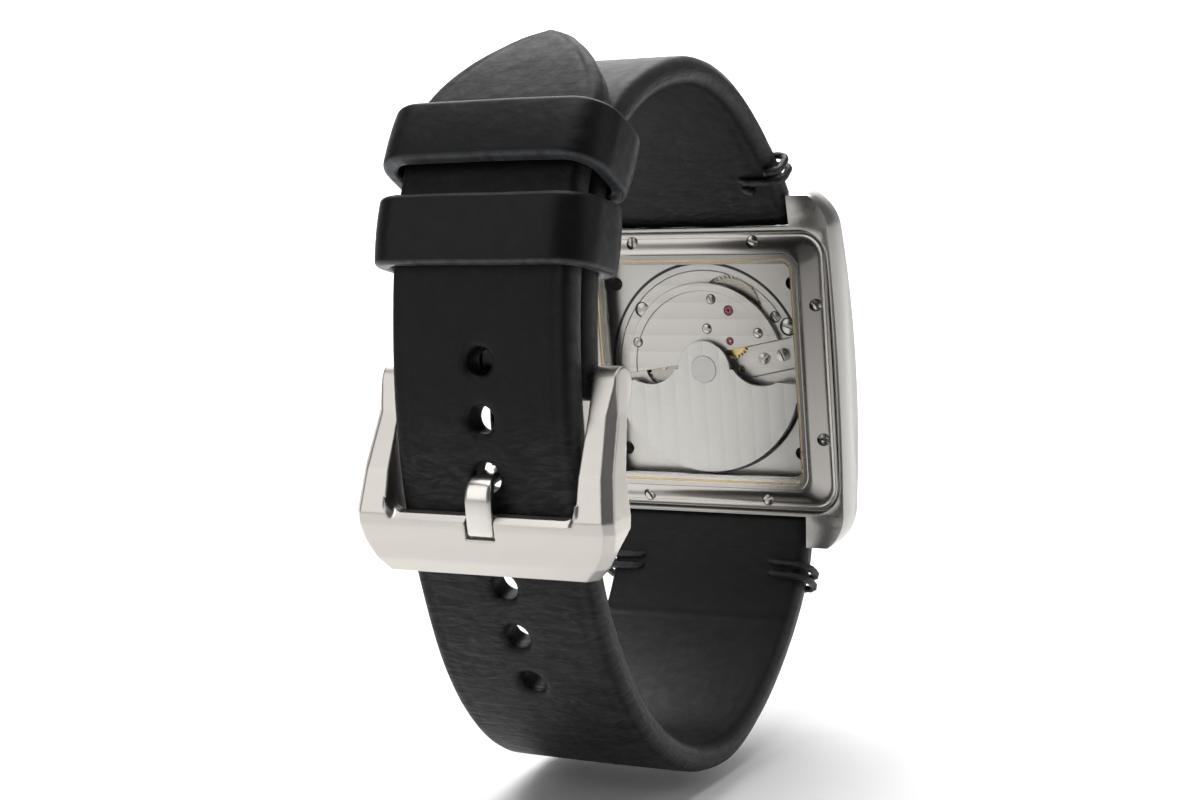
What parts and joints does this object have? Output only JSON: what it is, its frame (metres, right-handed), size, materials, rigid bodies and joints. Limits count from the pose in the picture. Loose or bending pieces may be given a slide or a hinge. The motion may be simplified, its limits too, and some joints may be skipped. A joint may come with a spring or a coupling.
{
  "type": "rectangular wristwatch",
  "caption": "Rectangular self-winding wristwatch with curved steel case, display back, leather strap closed by its pin buckle.",
  "frame": {"origin": "middle of the loop that the wrist fills, on the case's mid plane", "axes": "+X towards 3 o'clock and the crown, +Z towards 12 o'clock, the dial faces -Y"},
  "size_m": [0.0403, 0.0618, 0.0838],
  "materials": {
    "case_steel": "satin with polished edges",
    "crystal": "polished",
    "gasket": "matte",
    "gold_ring": "satin",
    "dial": "satin",
    "hands": "polished",
    "seconds": "gloss",
    "plates": "striped rhodium",
    "screws": "polished",
    "jewel": "polished",
    "gilt": "gilt",
    "hairspring": "blued",
    "strap_leather": "matte, creased",
    "thread": "waxed",
    "buckle_steel": "satin"
  },
  "bodies": {
    "case": {"case_middle": "case_steel", "bezel": "case_steel", "front_crystal": "crystal", "front_crystal_gasket": "gasket", "rehaut_ring": "gasket", "dial": "dial", "hour_markers": "hands", "caseback": "case_steel", "caseback_crystal": "crystal", "caseback_crystal_gasket": "gold_ring", "caseback_gasket": "gasket", "caseback_screws": "case_steel", "crown_tube": "case_steel", "movement_ring": "plates", "main_plate": "plates", "barrel_bridge": "plates", "train_bridge": "plates", "escapement_bridge": "plates", "balance_bridge": "plates", "automatic_bridge": "plates", "bridge_screws": "screws", "jewels": "jewel", "rotor_bearing": "screws", "hairspring": "hairspring", "long_strap": "strap_leather", "short_strap": "strap_leather", "lug_stitches": "thread", "fixed_keeper": "strap_leather", "spring_bar_top": "screws", "spring_bar_bottom": "screws", "spring_bar_buckle": "screws"},
    "rotor": {"rotor": "plates"},
    "reverser": {"reverser_wheel": "gilt"},
    "crown_slide": {"crown_gasket": "gasket"},
    "crown": {"crown": "case_steel", "winding_stem": "screws"},
    "crown_wheel": {"crown_wheel": "screws"},
    "idler": {"idler_wheel": "screws"},
    "ratchet": {"ratchet_wheel": "screws"},
    "barrel": {"barrel": "gilt", "mainspring": "screws"},
    "second": {"second_wheel": "gilt"},
    "third": {"third_wheel": "gilt"},
    "seconds": {"fourth_wheel": "gilt", "seconds_hand": "seconds"},
    "minutes": {"cannon_pinion": "gilt", "minute_hand": "hands"},
    "minute_wheel": {"minute_wheel": "gilt"},
    "hours": {"hour_wheel": "gilt", "hour_hand": "hands"},
    "escape": {"escape_wheel": "gilt"},
    "pallet": {"pallet_fork": "screws"},
    "balance": {"balance_wheel": "gilt"},
    "tip_top_left": {"bar_tip_top_left": "screws"},
    "tip_top_right": {"bar_tip_top_right": "screws"},
    "tip_bottom_left": {"bar_tip_bottom_left": "screws"},
    "tip_bottom_right": {"bar_tip_bottom_right": "screws"},
    "buckle": {"buckle_frame": "buckle_steel"},
    "tang": {"tang": "buckle_steel"},
    "free_keeper": {"free_keeper": "strap_leather"}
  },
  "joints": [
    {"name": "rotor_spin", "type": "hinge", "parent": "case", "child": "rotor", "pos_m": [0, -0.0235, 0], "axis": [0, 1, 0], "continuous": true},
    {"name": "reverser_spin", "type": "hinge", "parent": "case", "child": "reverser", "pos_m": [-0.00345, -0.0244, 0.0034], "axis": [0, 1, 0], "continuous": true},
    {"name": "crown_pull", "type": "slide", "parent": "case", "child": "crown_slide", "axis": [1, 0, 0], "range_m": [0, 0.001]},
    {"name": "crown_turn", "type": "hinge", "parent": "crown_slide", "child": "crown", "pos_m": [0.0195, -0.0258, 0], "axis": [1, 0, 0], "continuous": true},
    {"name": "crown_wheel_spin", "type": "hinge", "parent": "case", "child": "crown_wheel", "pos_m": [0.00618, -0.0247, 0], "axis": [0, 1, 0], "continuous": true},
    {"name": "idler_spin", "type": "hinge", "parent": "case", "child": "idler", "pos_m": [0.00392, -0.0247, 0.0053], "axis": [0, 1, 0], "continuous": true},
    {"name": "ratchet_spin", "type": "hinge", "parent": "case", "child": "ratchet", "pos_m": [-0.0035, -0.0247, 0.00715], "axis": [0, 1, 0], "continuous": true},
    {"name": "seconds_spin", "type": "hinge", "parent": "case", "child": "seconds", "pos_m": [0, -0.0258, 0], "axis": [0, 1, 0], "continuous": true},
    {"name": "third_spin", "type": "hinge", "parent": "case", "child": "third", "pos_m": [-0.00303, -0.0255, -0.00135], "axis": [0, 1, 0], "continuous": true},
    {"name": "second_spin", "type": "hinge", "parent": "case", "child": "second", "pos_m": [-0.00415, -0.0252, 0.00185], "axis": [0, 1, 0], "continuous": true},
    {"name": "barrel_spin", "type": "hinge", "parent": "case", "child": "barrel", "pos_m": [-0.0035, -0.0258, 0.00715], "axis": [0, 1, 0], "continuous": true},
    {"name": "minutes_spin", "type": "hinge", "parent": "case", "child": "minutes", "pos_m": [0, -0.0272, 0], "axis": [0, 1, 0], "continuous": true},
    {"name": "minute_wheel_spin", "type": "hinge", "parent": "case", "child": "minute_wheel", "pos_m": [0.00166, -0.0274, -0.00288], "axis": [0, 1, 0], "continuous": true},
    {"name": "hours_spin", "type": "hinge", "parent": "case", "child": "hours", "pos_m": [0, -0.0276, 0], "axis": [0, 1, 0], "continuous": true},
    {"name": "escape_spin", "type": "hinge", "parent": "case", "child": "escape", "pos_m": [0.00221, -0.026, -0.00229], "axis": [0, 1, 0], "continuous": true},
    {"name": "pallet_swing", "type": "hinge", "parent": "case", "child": "pallet", "pos_m": [0.00358, -0.02605, -0.00432], "axis": [0, 1, 0], "range_deg": [-5, 5]},
    {"name": "balance_swing", "type": "hinge", "parent": "case", "child": "balance", "pos_m": [0.00498, -0.0252, -0.00639], "axis": [0, 1, 0], "range_deg": [-270, 270], "stiffness_Nm_per_rad": 0.0000014},
    {"name": "tip_top_left_press", "type": "slide", "parent": "case", "child": "tip_top_left", "axis": [1, 0, 0], "range_m": [0, 0.001], "stiffness_N_per_m": 600},
    {"name": "tip_bottom_left_press", "type": "slide", "parent": "case", "child": "tip_bottom_left", "axis": [1, 0, 0], "range_m": [0, 0.001], "stiffness_N_per_m": 600},
    {"name": "tip_top_right_press", "type": "slide", "parent": "case", "child": "tip_top_right", "axis": [-1, 0, 0], "range_m": [0, 0.001], "stiffness_N_per_m": 600},
    {"name": "tip_bottom_right_press", "type": "slide", "parent": "case", "child": "tip_bottom_right", "axis": [-1, 0, 0], "range_m": [0, 0.001], "stiffness_N_per_m": 600},
    {"name": "buckle_swing", "type": "hinge", "parent": "case", "child": "buckle", "pos_m": [0, 0.023, 0.007], "axis": [1, 0, 0], "range_deg": [0, 2]},
    {"name": "tang_swing", "type": "hinge", "parent": "case", "child": "tang", "pos_m": [0, 0.023, 0.007], "axis": [1, 0, 0], "range_deg": [0, 2]},
    {"name": "keeper_slide", "type": "slide", "parent": "case", "child": "free_keeper", "axis": [0, -0.5796, 0.8149], "range_m": [0, 0.001]}
  ],
  "couplings": [
    {"joint": "reverser_spin", "follows": "rotor_spin", "ratio": -1.2857},
    {"joint": "crown_wheel_spin", "follows": "crown_turn", "ratio": -0.41667},
    {"joint": "idler_spin", "follows": "crown_turn", "ratio": 0.25},
    {"joint": "ratchet_spin", "follows": "crown_turn", "ratio": -0.22222},
    {"joint": "third_spin", "follows": "seconds_spin", "ratio": -0.13333},
    {"joint": "second_spin", "follows": "seconds_spin", "ratio": 0.018182},
    {"joint": "barrel_spin", "follows": "seconds_spin", "ratio": -0.0027972},
    {"joint": "minutes_spin", "follows": "seconds_spin", "ratio": 0.016667},
    {"joint": "minute_wheel_spin", "follows": "seconds_spin", "ratio": -0.0055556},
    {"joint": "hours_spin", "follows": "seconds_spin", "ratio": 0.0013889},
    {"joint": "escape_spin", "follows": "seconds_spin", "ratio": -9},
    {"joint": "tang_swing", "follows": "buckle_swing", "ratio": 1}
  ]
}
